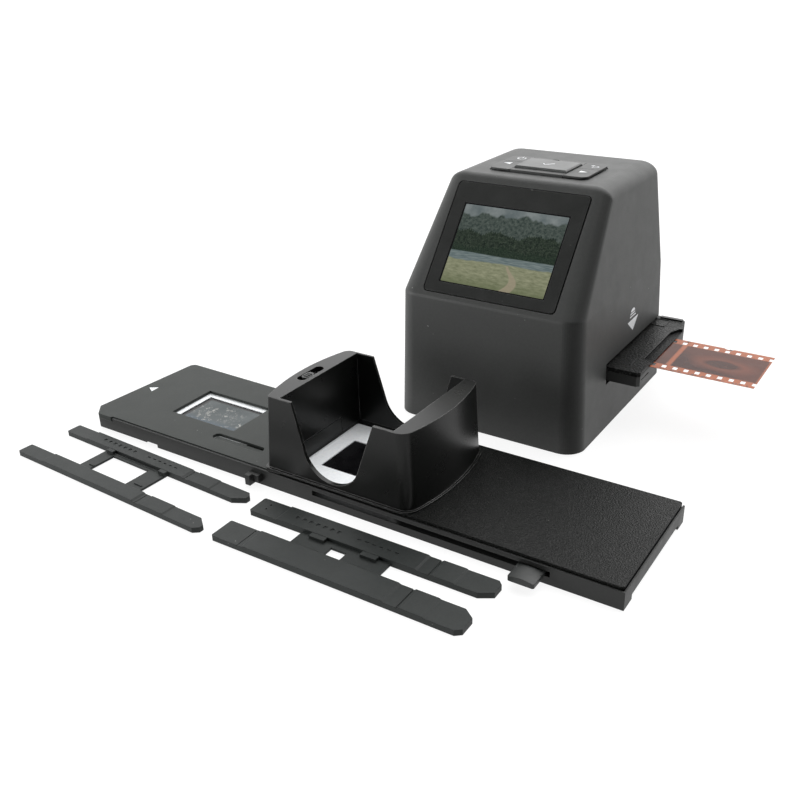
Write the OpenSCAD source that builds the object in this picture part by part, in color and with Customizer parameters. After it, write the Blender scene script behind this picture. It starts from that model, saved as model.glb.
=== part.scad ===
// Film and slide scanner kit: a desktop scanner tower with a tilted display,
// a sliding film holder with a strip of film, a slide feeder tray with its
// chute and pusher, and two film inserts. Millimetres, +Z up, the tower's
// base centre at the origin, the display facing -Y.

/* [Scanner tower] */
// Width of the tower at its base
body_w = 89; // [86:0.2:94]
// Depth of the tower at its base
body_d = 103; // [100:0.5:108]
// Height of the top face
body_h = 104; // [102.5:0.1:105]
// Width of the tower where the front wall turns into the display slope
kink_w = 84.2; // [83:0.2:86]
// Width the side walls would reach at the top face
top_w = 74.2; // [73:0.2:76]
// Height where the front wall turns into the display slope
kink_h = 58.8; // [57:0.2:60]
// Lean of the display slope from upright, degrees
slope_lean = 38.9; // [37:0.1:40]
// Shell wall
wall = 2.2; // [1.8:0.1:2.4]

/* [Film] */
// How far the film strip reaches past the holder's outer end
film_out = 43.6; // [20:0.1:60]
// Film thickness
film_t = 0.16; // [0.12:0.01:0.2]

/* [Feeder] */
// Height of the feeder's left plate
plate_top = 7.6; // [7:0.1:8]
// Height of the feeder's right cover
cover_top = 8.3; // [8.1:0.1:9]
// Height of the chute rim
rim_top = 41; // [36:0.5:46]

/* [Inserts] */
// Thickness of the insert rails
rail_t = 2.7; // [2.2:0.1:3.4]
// Turn of the wide insert on the table, degrees
insert_turn = -2.4; // [-4:0.1:0]

/* [Display] */
// Width of the lit picture
lcd_w = 48.96; // [46:0.1:50]
// Height of the lit picture
lcd_h = 36.72; // [34:0.1:38]

/* [Hidden] */

col_shell = [0.235, 0.235, 0.23];
col_black = [0.07, 0.072, 0.075];
col_dark  = [0.14, 0.145, 0.145];
col_grey  = [0.30, 0.315, 0.31];
col_pcb   = [0.05, 0.22, 0.12];
col_metal = [0.62, 0.63, 0.65];
col_white = [0.86, 0.87, 0.88];

W = body_w; D = body_d; H = body_h; zk = kink_h; a = slope_lean;
tf = 0.4; tb = 3.2;
tl = atan((W - kink_w)/2/zk); tu = atan((kink_w - top_w)/2/(H - zk));
rb = 9; rbb = 6.5; rk = 8; re = 2.5; rkb = 7;
y0 = -D/2 + zk*tan(tf);
// centres of the rounded corners, tangent to the walls
q1 = D/2*cos(tf) - (rk - re)*cos(tf) - re;
q2 = -y0*cos(a) + zk*sin(a) - (rk - re)*cos(a) - re;
zkc = (q2 - q1*cos(a)/cos(tf))/(sin(a) - cos(a)*tan(tf));
yk = (zkc*sin(tf) - q1)/cos(tf);
function side_x(z, r) = min((W/2 - z*tan(tl)) - r, (kink_w/2 - (z - zk)*tan(tu)) - r);
xk = side_x(zkc, rk);
xkb = side_x(zkc, rkb);
ykb = D/2 - zkc*tan(tb) - rkb/cos(tb);
ef = [8, 4.5, 6]; eb = [9, 8, 6];
ztc = H - 6;
function reach(e, n) = norm([e[0]*n[0], e[1]*n[1], e[2]*n[2]]);
ns = [0, -cos(a), sin(a)]; nu = [cos(tu), 0, sin(tu)]; nb = [0, cos(tb), sin(tb)];
ytf = (-y0*cos(a) + zk*sin(a) - reach(ef, ns) - ztc*sin(a))/-cos(a);
xtf = (kink_w/2*cos(tu) + zk*sin(tu) - reach(ef, nu) - ztc*sin(tu))/cos(tu);
xtb = (kink_w/2*cos(tu) + zk*sin(tu) - reach(eb, nu) - ztc*sin(tu))/cos(tu);
ytb = (D/2*cos(tb) - reach(eb, nb) - ztc*sin(tb))/cos(tb);
slot_lo = 21.5; slot_hi = 31; slot_y0 = -21.2; slot_y1 = 48.2;
fy = 10.2;                       // film centre line
hx = 57.6;                       // half length of the film holder
hz0 = 23.05; hzs = 27.6; hz1 = 29.5;
key_z0 = H + 0.2; key_z1 = H + 1.1;
fx0 = -57.6; fx1 = hx + film_out;
ey = -105.2;                     // slide centre line in the feeder
sa_x = -103.6; sb_x = -21;       // slide centres
sl_z = 3.4; sl_t = 2.6;

module bx(x0, x1, y0, y1, z0, z1) translate([x0, y0, z0]) cube([x1 - x0, y1 - y0, z1 - z0]);
module cz(x, y, z0, z1, r, n = 48) translate([x, y, z0]) cylinder(r = r, h = z1 - z0, $fn = n);
module cyy(x, z, y0, y1, r, n = 40) translate([x, y1, z]) rotate([90, 0, 0]) cylinder(r = r, h = y1 - y0, $fn = n);
module rr2(x0, x1, y0, y1, r) {
  translate([x0 + r, y0]) square([x1 - x0 - 2*r, y1 - y0]);
  translate([x0, y0 + r]) square([x1 - x0, y1 - y0 - 2*r]);
  for (x = [x0 + r, x1 - r], y = [y0 + r, y1 - r]) translate([x, y]) circle(r = r, $fn = 48);
}
module rr(x0, x1, y0, y1, z0, z1, r) translate([0, 0, z0]) linear_extrude(height = z1 - z0) rr2(x0, x1, y0, y1, r);
module pill_y(x, y, len, r, z0, z1) { bx(x - r, x + r, y - len/2 + r, y + len/2 - r, z0, z1); cz(x, y - len/2 + r, z0, z1, r); cz(x, y + len/2 - r, z0, z1, r); }
module on_slope() translate([0, y0, zk]) rotate([90 - a, 0, 0]) children();

module edge_disc(r, e) rotate_extrude($fn = 56) { square([r - e, 2*e], center = false); translate([r - e, e]) circle(r = e, $fn = 24); }
module body_hull(o, zb) hull() for (s = [-1, 1]) {
  translate([s*(W/2 - rb), -D/2 + rb, zb]) cylinder(r = rb - o, h = 0.02, $fn = 64);
  translate([s*(W/2 - rbb), D/2 - rbb, zb]) cylinder(r = rbb - o, h = 0.02, $fn = 48);
  translate([s*xk, yk, zkc - max(re - o, 0.3)]) edge_disc(rk - o, max(re - o, 0.3));
  translate([s*xkb, ykb, zkc - max(re - o, 0.3)]) edge_disc(rkb - o, max(re - o, 0.3));
  translate([s*xtf, ytf, ztc]) scale([ef[0] - o, ef[1] - o, ef[2] - o]) sphere(r = 1, $fn = 44);
  translate([s*xtb, ytb, ztc]) scale([eb[0] - o, eb[1] - o, eb[2] - o]) sphere(r = 1, $fn = 44);
}

key_xy = [[-18, 14.3], [-18, 2.3], [18, 2.3], [18, 14.3], [0, 5.9]];
boss_xy = [[-38.2, -24], [38.2, -24], [-38.2, 20], [38.2, 20]];
col_xy = [[-32, -14], [32, -14], [-32, 30], [32, 30]];
kb_posts = [[-23.2, -8.6], [23.2, -8.6], [-23.2, 21.4], [23.2, 21.4]];
mb_posts = [[-27, 50], [27, 50], [-27, 84], [27, 84]];
lcd_posts = [[-31, 7], [31, 7], [-31, 44.5], [31, 44.5]];
io_posts = [[-29.5, 24.5], [35, 24.5], [-29.5, 43], [35, 41]];

// ---------- scanner tower ----------
module housing() color(col_shell) {
  difference() {
    union() {
      difference() {
        body_hull(0, 0.3);
        difference() { body_hull(wall, -1); }
        // display seat and window
        on_slope() {
          rr(-30.8, 30.8, 2.35, 54.05, -1.0, 6, 2.2);
          bx(-lcd_w/2 - 0.5, lcd_w/2 + 0.5, 7, 44.8, -8, 2);
        }
        // keypad seat
        rr(-23.1, 23.1, -6.7, 19.7, H - 1.0, H + 4, 3.4);
      }
      intersection() {
        body_hull(0.4, 0.3);
        union() {
          for (p = boss_xy) cz(p[0], p[1], 2.6, 14, 3.4);
          for (p = boss_xy) bx(p[0] > 0 ? p[0] : p[0] - 8, p[0] > 0 ? p[0] + 8 : p[0], p[1] - 1, p[1] + 1, 2.6, 14);
          for (p = kb_posts) cz(p[0], p[1], H - 8.15, H - 1.5, 1.9, 32);
          for (p = mb_posts) cyy(p[0], p[1], 43.65, 60, 2.3, 32);
          on_slope() for (p = lcd_posts) cz(p[0], p[1], -6, -1.5, 2, 32);
        }
      }
    }
    // holder slot, right through
    bx(-60, 60, slot_y0, slot_y1, slot_lo, slot_hi);
    // stems and status lens
    for (p = key_xy) cz(p[0], p[1], H - 4, H, 2.1, 32);
    cz(-1.8, 17.1, H - 4, H, 1.3, 32);
    // ports in the back wall
    bx(-24.5, -15.8, 46, 60, 37.3, 41.9);
    cyy(-5, 41.1, 45, 60, 3.3);
    bx(7.4, 32.6, 45, 60, 37.9, 40.95);
    // screw holes
    for (p = boss_xy) cz(p[0], p[1], 2, 12.5, 1.25, 24);
    for (p = kb_posts) cz(p[0], p[1], H - 9, H - 3.4, 0.85, 24);
    for (p = mb_posts) cyy(p[0], p[1], 43, 44.6, 0.85, 24);
    on_slope() for (p = lcd_posts) cz(p[0], p[1], -6.5, -2.6, 0.85, 24);
  }
}
module base_plate() color(col_dark) difference() {
  union() {
    rr(-41.8, 41.8, -48.8, 48.8, 0, 2.5, 6.6);
    for (p = [[-14, -30], [14, -30], [-14, 36]]) bx(p[0] - 8, p[0] + 8, p[1] - 0.8, p[1] + 0.8, 2.5, 4.5);
  }
  for (x = [-34, 34], y = [-40.5, 40.5]) cz(x, y, -1, 1.0, 6.1);
  for (p = concat(boss_xy, col_xy)) { cz(p[0], p[1], -1, 1.5, 2.9, 32); cz(p[0], p[1], -1, 4, 1.5, 24); }
  for (i = [-2:2]) bx(i*5 - 1, i*5 + 1, 38.5, 46, -1, 4);
}
module foot_pads() color([0.1, 0.1, 0.1]) for (x = [-34, 34], y = [-40.5, 40.5]) cz(x, y, 0, 0.98, 6);
module base_screws() color(col_metal) for (p = concat(boss_xy, col_xy)) difference() {
  union() { cz(p[0], p[1], 0.2, 1.48, 2.6, 32); cz(p[0], p[1], 0.2, 10.5, 1.2, 24); }
  bx(p[0] - 1.5, p[0] + 1.5, p[1] - 0.3, p[1] + 0.3, 0, 0.8);
  bx(p[0] - 0.3, p[0] + 0.3, p[1] - 1.5, p[1] + 1.5, 0, 0.8);
}
module bezel() color([0.1, 0.1, 0.1]) on_slope() difference() {
  rr(-30.25, 30.25, 2.85, 53.6, -0.98, 0.12, 1.8);
  bx(-lcd_w/2, lcd_w/2, 7.52, 7.52 + lcd_h, -2, 2);
}
module lcd_panel() color([0.25, 0.35, 0.28]) on_slope() bx(-lcd_w/2 + 0.04, lcd_w/2 - 0.04, 7.56, 7.48 + lcd_h, -2.2, -0.12);
module lcd_module() color(col_metal) on_slope() difference() {
  rr(-28, 28, 4.6, 47.6, -5.95, -2.25, 1);
  for (x = [-20, -7, 7, 20]) bx(x - 4, x + 4, 12, 40, -6.5, -5.4);
}
module lcd_retainer() color(col_black) on_slope() difference() {
  rr(-33.2, 33.2, 3.6, 47.9, -7.5, -6.02, 2);
  rr(-22, 22, 10, 42, -9, -5, 2);
  for (p = lcd_posts) cz(p[0], p[1], -9, -5, 1.1, 24);
}
module keypad_plate() color(col_shell) difference() {
  union() {
    rr(-22.7, 22.7, -6.3, 19.3, H - 0.98, H - 0.4, 3);
    rr2_strip(-12.3, 12.3, -6.3, -2.7);
    rr2_strip(-12.3, 12.3, 14.6, 19.3);
  }
  for (p = key_xy) cz(p[0], p[1], H - 2, H + 1, 1.8, 32);
  cz(-1.8, 17.1, H - 2, H + 3, 1.3, 32);
  // ring around the status lens
  difference() { cz(-1.8, 17.1, key_z1 - 0.35, H + 3, 1.95, 40); cz(-1.8, 17.1, H, H + 4, 1.45, 40); }
}
module rr2_strip(x0, x1, ya, yb) bx(x0, x1, ya, yb, H - 0.4, key_z1);
module key_cap(x0, x1, ya, yb, cx, cy, px, py) {
  // cap with the outer corner rounded at (cx, cy)
  translate([0, 0, key_z0]) linear_extrude(height = key_z1 - key_z0) difference() {
    translate([x0, ya]) square([x1 - x0, yb - ya]);
    difference() {
      translate([cx < 0 ? x0 - 1 : x1 - 3, cy < 10 ? ya - 1 : yb - 3]) square([4, 4]);
      translate([cx < 0 ? x0 + 3 : x1 - 3, cy < 10 ? ya + 3 : yb - 3]) circle(r = 3, $fn = 48);
    }
  }
  cz(px, py, H - 4.15, key_z0 + 0.2, 1.45, 32);
}
module key_power() color(col_shell) key_cap(-22.7, -12.55, 8.65, 19.3, -1, 20, key_xy[0][0], key_xy[0][1]);
module key_left() color(col_shell) key_cap(-22.7, -12.55, -6.3, 8.4, -1, 0, key_xy[1][0], key_xy[1][1]);
module key_right() color(col_shell) key_cap(12.55, 22.7, -6.3, 8.4, 1, 0, key_xy[2][0], key_xy[2][1]);
module key_back() color(col_shell) key_cap(12.55, 22.7, 8.65, 19.3, 1, 20, key_xy[3][0], key_xy[3][1]);
module key_ok() color(col_shell) {
  intersection() {
    translate([0, 30, 0]) rotate([90, 0, 0]) linear_extrude(height = 40) polygon([[-12.1, key_z0], [12.1, key_z0], [12.1, H + 1.6], [11.6, H + 2.1], [-11.6, H + 2.1], [-12.1, H + 1.6]]);
    translate([-20, 0, 0]) rotate([90, 0, 90]) linear_extrude(height = 40) polygon([[-2.4, key_z0], [14.3, key_z0], [14.3, H + 1.6], [13.8, H + 2.1], [-1.9, H + 2.1], [-2.4, H + 1.6]]);
  }
  cz(0, 5.9, H - 4.15, key_z0 + 0.2, 1.45, 32);
}
module status_lens() color(col_white) { cz(-1.8, 17.1, H - 7, key_z1 - 0.15, 0.9, 32); cz(-1.8, 17.1, H - 7, H - 5.2, 1.6, 32); }
module key_board() color(col_pcb) difference() {
  rr(-25.4, 25.4, -11, 23.8, H - 9.4, H - 8.2, 1.5);
  for (p = kb_posts) cz(p[0], p[1], H - 12, H - 6, 1.1, 24);
}
module key_switches() color(col_metal) for (p = key_xy) { bx(p[0] - 3, p[0] + 3, p[1] - 3, p[1] + 3, H - 8.18, H - 5.4); cz(p[0], p[1], H - 5.4, H - 4.75, 1.3, 24); }
module main_board() color(col_pcb) difference() {
  bx(-31, 31, 42, 43.6, 46.5, 88);
  for (p = mb_posts) cyy(p[0], p[1], 39, 45, 1.1, 24);
}
module main_chips() color([0.06, 0.06, 0.065]) {
  bx(-9, 9, 40.6, 41.98, 60, 78); bx(13, 24, 40.9, 41.98, 64, 78); bx(-24, -14, 40.9, 41.98, 66, 74);
  bx(-25, 25, 39.2, 41.98, 48.5, 50.5); cyy(18, 56, 37, 41.98, 3.1); cyy(-18, 57, 37, 41.98, 3.1);
}
module io_board() color(col_pcb) difference() {
  translate([0, 0, 36]) linear_extrude(height = 1.6) polygon([[-33, 20.6], [38.6, 20.6], [38.6, 41.6], [33.6, 46.6], [-33, 46.6]]);
  for (p = io_posts) cz(p[0], p[1], 35, 39, 1.1, 24);
}
module usb_inlet() color(col_metal) difference() {
  bx(-24, -16.3, 39.2, 48.6, 37.62, 41.6);
  bx(-23.4, -16.9, 41, 50, 38.1, 41.1);
}
module video_jack() color(col_black) difference() {
  union() { bx(-8.5, -1.5, 36.5, 46.6, 37.62, 44.4); cyy(-5, 41.1, 46.6, 48.8, 3); }
  cyy(-5, 41.1, 38, 50, 1.75);
}
module card_socket() color(col_metal) difference() {
  bx(6.9, 33.1, 24, 46.7, 37.62, 41.4);
  bx(7.75, 32.25, 20, 50, 38.15, 40.75);
}
module memory_card() color([0.12, 0.2, 0.36]) translate([0, 0, 38.35]) linear_extrude(height = 2.1) polygon([[8, 25], [12, 21], [32, 21], [32, 53], [8, 53]]);
module board_screw() difference() { union() { cz(0, 0, 0, 1.2, 1.7, 24); cz(0, 0, -4.5, 0, 0.8, 20); } bx(-1, 1, -0.2, 0.2, 0.7, 2); }
module board_screws() color(col_metal) {
  for (p = kb_posts) translate([p[0], p[1], H - 9.42]) rotate([180, 0, 0]) board_screw();
  for (p = mb_posts) translate([p[0], 41.98, p[1]]) rotate([90, 0, 0]) { cz(0, 0, 0, 1.2, 1.7, 24); cz(0, 0, -2.5, 0, 0.8, 20); }
  for (p = io_posts) translate([p[0], p[1], 37.62]) { cz(0, 0, 0, 1.2, 1.7, 24); cz(0, 0, -3.5, 0, 0.8, 20); }
  on_slope() for (p = lcd_posts) translate([p[0], p[1], -7.52]) rotate([180, 0, 0]) board_screw();
}
module gate_plate(z0, z1) translate([0, 0, z0]) linear_extrude(height = z1 - z0)
  polygon([[-39.3, -24.4], [39.3, -24.4], [39.3, 41.4], [33.3, 47.4], [-33.3, 47.4], [-39.3, 41.4]]);
module gate_frame() color(col_black) difference() {
  union() {
    gate_plate(20.6, 22.95);
    gate_plate(30.5, 32.2);
    bx(-39.3, 39.3, -24.4, -20.7, 20.6, 32.2);
    for (p = col_xy) cz(p[0], p[1], 2.55, 20.7, 3.2);
    for (p = io_posts) cz(p[0], p[1], 32.1, 35.95, 2.2, 32);
  }
  bx(-19, 19, fy - 13, fy + 13, 20, 23.5);
  cz(0, fy, 30, 33, 8.5);
  for (p = col_xy) cz(p[0], p[1], 2, 12, 1.25, 24);
  for (p = io_posts) cz(p[0], p[1], 33.6, 36.5, 0.85, 24);
  cyy(0, 26.2, -26, -20, 1.75);
}
module detent_plunger() color(col_metal) { cyy(0, 26.2, -26.5, -21.0, 1.6); cyy(0, 26.2, -21.0, -20.3, 0.7); cyy(0, 26.2, -28, -26.5, 2.6); }
module light_board() color(col_pcb) bx(-23, 23, -9.3, 29.4, 4.6, 6.1);
module light_leds() color([0.95, 0.93, 0.75]) for (x = [-14, 0, 14], y = [1.5, 18.9]) bx(x - 1.75, x + 1.75, y - 1.4, y + 1.4, 6.12, 7.0);
module light_box() color(col_white) difference() {
  bx(-22, 22, -7.5, 27.9, 6.12, 18.7);
  bx(-20.4, 20.4, -5.9, 26.3, 5, 20);
}
module diffuser() color([0.95, 0.96, 0.97]) rr(-22, 22, -7.5, 27.9, 18.75, 20.5, 1);
module lens_barrel() color(col_black) difference() {
  union() { cz(0, fy, 32.25, 34, 11.3, 64); cz(0, fy, 34, 55, 9, 64); for (i = [0:5]) cz(0, fy, 37 + i*2.6, 38.2 + i*2.6, 9.4, 64); }
  cz(0, fy, 31, 56, 7, 64);
}
module lens_glass() color([0.6, 0.7, 0.75]) { cz(0, fy, 37.5, 40, 6.95, 64); cz(0, fy, 46, 48.4, 6.95, 64); }
module sensor_bracket() color(col_black) difference() {
  union() { rr(-16, 16, -6, 19.2, 55.1, 57.9, 2); for (x = [-13.5, 13.5], y = [-3.5, 16.8]) cz(x, y, 32.25, 55.2, 2.1, 32); }
  cz(0, fy, 54, 59, 5, 48);
}
module sensor_board() color(col_pcb) rr(-16, 16, -6, 19.2, 57.95, 59.2, 2);
module sensor_chip() color([0.2, 0.2, 0.25]) bx(-3.2, 3.2, fy - 2.6, fy + 2.6, 56.8, 57.93);

// ---------- film holder ----------
module holder_outline(x) polygon([[-x + 1.2, -20], [x - 1.2, -20], [x, -18.8], [x, 38], [x - 2.2, 46], [x - 3.6, 47.5], [-x + 3.6, 47.5], [-x + 2.2, 46], [-x, 38], [-x, -18.8]]);
module holder_base() color(col_black) difference() {
  translate([0, 0, hz0]) linear_extrude(height = hzs - 0.05 - hz0) holder_outline(hx);
  bx(-18.3, 18.3, fy - 12.3, fy + 12.3, 20, 30);
  bx(-19.3, 19.3, fy - 13.3, fy + 13.3, 20, 25.2);
  for (x = [-38, -19, 0, 19, 38]) translate([x, -20.4, 20]) cylinder(r = 1.1, h = 10, $fn = 32);
  for (s = [-1, 1]) bx(s > 0 ? hx - 0.5 : -hx - 1, s > 0 ? hx + 1 : -hx + 0.5, -17.4, -8.6, 25.2, 25.8);
}
module holder_cover() color(col_black) difference() {
  union() {
    translate([0, 0, hzs]) linear_extrude(height = hz1 - hzs) holder_outline(hx);
    // raised marks on the top
    for (s = [-1, 1]) {
      bx(s*50.7 - 0.25, s*50.7 + 0.25, -13.2, -5, hz1, hz1 + 0.22);
      bx(s*50.5 - 0.25, s*50.5 + 0.25, 13, 19, hz1, hz1 + 0.22);
      difference() { bx(s*45.6 - 3.6, s*45.6 + 3.6, 34.8, 43.4, hz1, hz1 + 0.22); bx(s*45.6 - 3.2, s*45.6 + 3.2, 35.2, 43, hz1 - 1, hz1 + 1); }
    }
  }
  // film channel
  bx(-60, 60, fy - 17.8, fy + 17.8, 27, 28.05);
  // frame window
  bx(-18.3, 18.3, fy - 12.3, fy + 12.3, 27, 31);
  bx(-20, 20, fy - 14, fy + 14, 28.6, 31);
  // flared mouths
  for (m = [0, 1]) mirror([m, 0, 0]) translate([0, 0, 28.4]) linear_extrude(height = 3) polygon([[53.9, -4.6], [53.9, 30], [56.2, 35.6], [60, 37], [60, -7.6], [57.6, -7.2]]);
}
module holder_latch() color(col_dark) for (s = [-1, 1]) {
  bx(s*49 - 5.2, s*49 + 5.2, 44.9, 46.9, hz1 + 0.01, hz1 + 0.55);
}
module film_strip() color([0.72, 0.42, 0.28]) difference() {
  translate([0, 0, 27.65]) linear_extrude(height = film_t) polygon([[fx0 + 6.9, fy - 17.5], [fx1, fy - 17.5], [fx1, fy + 17.5], [fx1 - 17.4, fy + 17.5], [fx1 - 18.6, fy + 16.6], [fx1 - 20.6, fy + 16.6], [fx1 - 21.8, fy + 17.5], [fx0 + 6.9, fy + 17.5]]);
  for (i = [-31:0], s = [-1, 1]) translate([fx1 - 0.5 + i*4.75, fy + s*14.08, 27.65]) cube([1.98, 2.8, 2], center = true);
}

// ---------- slide feeder ----------
ch_y0 = ey - 25.5; ch_y1 = ey + 25.5;
fsx = [[-140, -76.7], [-100, -76.7], [-62, -76.7], [-36, -76.7], [88, -128], [88, -81]];
ny = -133.6; // outside of the near wall
left_pts = [[-151.4, ny], [-156.3, -128], [-152.22, -75.2], [-151.95, -74], [-151.2, -73.05], [-150.1, -72.5], [-149.2, -72.42]];
module base_outline() polygon(concat(left_pts, [[-46, -74], [96.8, -74], [96.8, ny]]));
module plate_outline() polygon(concat(left_pts, [[-46.05, -74.02], [-46.05, ny + 1.05], [-142.6, ny + 1.05], [-143.4, ny]]));
module feeder_base() color(col_dark) difference() {
  union() {
    linear_extrude(height = 5.4) base_outline();
    // rim beside the plate and the cover
    bx(-142.4, 96.8, ny, ny + 0.75, 5.3, 7.15);
    bx(96.1, 96.8, ny, -74, 5.3, 7.15);
  }
  // slide channel
  bx(-160, 71.2, ch_y0, ch_y1, 3.3, 8);
  bx(74, 92, -126, -84, 2.3, 5.5);
  // window under the first slide
  bx(sa_x - 18.2, sa_x + 18.2, ey - 12.4, ey + 12.4, -1, 4);
  // pusher slot in the near wall
  bx(-30, 70.6, -136, ch_y0 + 1, 3.2, 5.4);
  // undercuts at the left and right ends
  bx(-160, -115.2, -140, -70, -1, 0.9);
  bx(-121.8, -115.2, -140, -131, -1, 1.5);
  bx(89, 100, -126.4, -80, -1, 2);
  for (p = fsx) { cz(p[0], p[1], -1, 1.5 + (p[0] < -118 ? 0.9 : 0), 1.35, 24); cz(p[0], p[1], -1, 8, 0.9, 20); }
}
module feeder_plate() color(col_grey) difference() {
  translate([0, 0, 5.45]) linear_extrude(height = plate_top - 5.45) plate_outline();
  bx(-123.2, -86.6, -115.4, -91, 3, 12);
  // channel of the slides under the plate
  bx(-160, -45, ch_y0, ch_y1, 5, 6.3);
  // slot with a spring tongue
  difference() {
    union() { bx(-89.3, -66.4, -124.4, -120, 3, 12); cz(-89.3, -122.2, 3, 12, 2.2, 40); cz(-66.4, -122.2, 3, 12, 2.2, 40); }
    intersection() { bx(-90.4, -63, -123.9, -121.3, 2, plate_top - 0.75); union() { bx(-89.3, -63, -124.4, -121.3, 2, 9); cz(-89.3, -122.6, 2, 9, 1.3, 32); } }
  }
  for (p = fsx) cz(p[0], p[1], 4, 7, 0.85, 20);
}
module feeder_cover() color(col_black) difference() {
  union() {
    rr(-46, 95.95, ny + 1.05, -73.9, 5.45, cover_top, 1.2);
    bx(-46, -40, ny + 1.05, -73.9, 5.45, cover_top);
  }
  bx(-47, 7.4, ey - 25.6, ey + 25.6, 3, 12);
  for (p = fsx) cz(p[0], p[1], 4, 7, 0.85, 20);
  for (y = [-121, -90]) cz(11, y, 6, 12, 1.15, 24);
}
module feeder_stop() color(col_black) { bx(-61, -58.5, -137.7, ny - 0.02, 0.7, 5.3); bx(-58.5, -55.3, -136, ny - 0.02, 2, 5.3); }
module feeder_screws() color(col_metal) for (p = fsx) translate([0, 0, p[0] < -118 ? 1.1 : 0.2]) difference() {
  union() { cz(p[0], p[1], 0, 1.2, 1.25, 24); cz(p[0], p[1], 1, 5.7, 0.8, 20); }
  bx(p[0] - 0.8, p[0] + 0.8, p[1] - 0.15, p[1] + 0.15, -1, 0.5);
}
// outline of the chute grown by d: two shallow arcs joined by rounded corners
c_hw = 27.1; c_rx = -63.8; c_rr = 91.4; c_lx = 41; c_lr = 88.1;
function arcp(c, r, a0, a1, n, e = 0) = [for (i = [e:n - e]) c + r*[cos(a0 + (a1 - a0)*i/n), sin(a0 + (a1 - a0)*i/n)]];
function fil_x(R, r) = sqrt(pow(R - r, 2) - pow(c_hw - r, 2));
function fil_a(R, r) = asin((c_hw - r)/(R - r));
function chute_pts(d, r1 = 5.6, r2 = 3.4, r3 = 1.6) = concat(
  arcp([c_rx + fil_x(c_rr, r1), -c_hw + r1], r1 + d, -90, -fil_a(c_rr, r1), 12),
  arcp([c_rx, 0], c_rr + d, -fil_a(c_rr, r1), fil_a(c_rr, r2), 34, 1),
  arcp([c_rx + fil_x(c_rr, r2), c_hw - r2], r2 + d, fil_a(c_rr, r2), 90, 10),
  arcp([c_lx - fil_x(c_lr, r2), c_hw - r2], r2 + d, 90, 180 - fil_a(c_lr, r2), 10),
  arcp([c_lx, 0], c_lr + d, 180 - fil_a(c_lr, r2), 180 + fil_a(c_lr, r3), 34, 1),
  arcp([c_lx - fil_x(c_lr, r3), -c_hw + r3], r3 + d, 180 + fil_a(c_lr, r3), 270, 8));
module chute_body() translate([-9.7, -105.4, cover_top]) linear_extrude(height = rim_top + 0.5 - cover_top, scale = [0.938, 0.974]) polygon(chute_pts(0));
// cut-out through a side wall: round floor at c, flanks that lean out by sl and sr
module finger_cut(ya, yb, c, r, sl, sr) translate([0, yb, 0]) rotate([90, 0, 0]) linear_extrude(height = yb - ya) polygon(concat(
  [[c[0] - r*cos(atan(sl)) - sl*(43 - c[1] + r*sin(atan(sl))), 43]],
  arcp(c, r, 180 + atan(sl), 360 - atan(sr), 44),
  [[c[0] + r*cos(atan(sr)) + sr*(43 - c[1] + r*sin(atan(sr))), 43]]));
module chute() color(col_black) difference() {
  union() {
    chute_body();
    translate([-9.7, -105.4, cover_top]) linear_extrude(height = 0.75) polygon(chute_pts(0.95));
    // foot down to the lower left plate
    translate([-9.7, -105.4, plate_top + 0.05]) linear_extrude(height = cover_top - plate_top) intersection() { polygon(chute_pts(0.95)); translate([-69, -50]) square([32.55, 100]); }
    for (y = [-121, -90]) cz(11, y, 6.2, cover_top + 1, 1.05, 24);
  }
  bx(-44.9, 7.3, ey - 25.4, ey + 25.4, 0, 60);
  // finger cut-outs in the near and far walls
  finger_cut(-140, -105, [-20.8, 23.35], 13, 0.261, 0.347);
  finger_cut(-105, -70, [-17.9, 24.4], 13.85, 0.285, 0.3);
  // the rim falls a little towards the far side
  translate([0, -105.4, rim_top - 0.97]) rotate([-0.8, 0, 0]) translate([-100, -50, 0]) cube([200, 100, 20]);
  // pocket of the gate plate
  bx(-46.3, -44, -118.35, -92.65, 4, 15.35);
  // selector slot
  pill_y(-48.9, -106.2, 15, 2.1, rim_top - 3.4, rim_top + 2);
}
module chute_gate() color(col_dark) bx(-46.2, -44.98, -118, -93, cover_top + 0.05, 15);
module chute_selector() color(col_dark) { pill_y(-48.9, -108, 5.8, 1.8, rim_top - 3.3, rim_top - 1); for (y = [-109.2, -108, -106.8]) bx(-50, -47.8, y - 0.25, y + 0.25, rim_top - 1.1, rim_top - 0.7); }
module pusher() color(col_dark) {
  difference() {
    union() {
      rr(5, 70, ey - 25.2, ey + 25.2, 3.42, 5.1, 1);
      bx(58.9, 68.8, -136.2, ch_y0 + 1.4, 3.42, 5.0);
    }
    bx(20, 52, ey - 16, ey + 16, 1, 8);
  }
  intersection() {
    translate([63.85, -130, -9.4]) rotate([90, 0, 0]) cylinder(r = 15, h = 12.4, $fn = 96);
    rr(58.9, 68.8, -142.2, -134.2, 3.1, 5.7, 0.8);
  }
}
module slide_mount(x) color(col_white) difference() {
  rr(x - 25, x + 25, ey - 25, ey + 25, sl_z, sl_z + sl_t, 1.2);
  bx(x - 17.2, x + 17.2, ey - 11.8, ey + 11.8, 0, 8);
  bx(x - 19, x + 19, ey - 14, ey + 14, sl_z + sl_t - 0.65, sl_z + sl_t - 0.4);
}
module slide_film(x) color([0.05, 0.06, 0.07]) bx(x - 18.8, x + 18.8, ey - 13.8, ey + 13.8, sl_z + sl_t - 0.6, sl_z + sl_t - 0.44);
module slide_a_mount() slide_mount(sa_x);
module slide_a_film() slide_film(sa_x);
module slide_b_mount() slide_mount(sb_x);
module slide_b_film() slide_film(sb_x);

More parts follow.
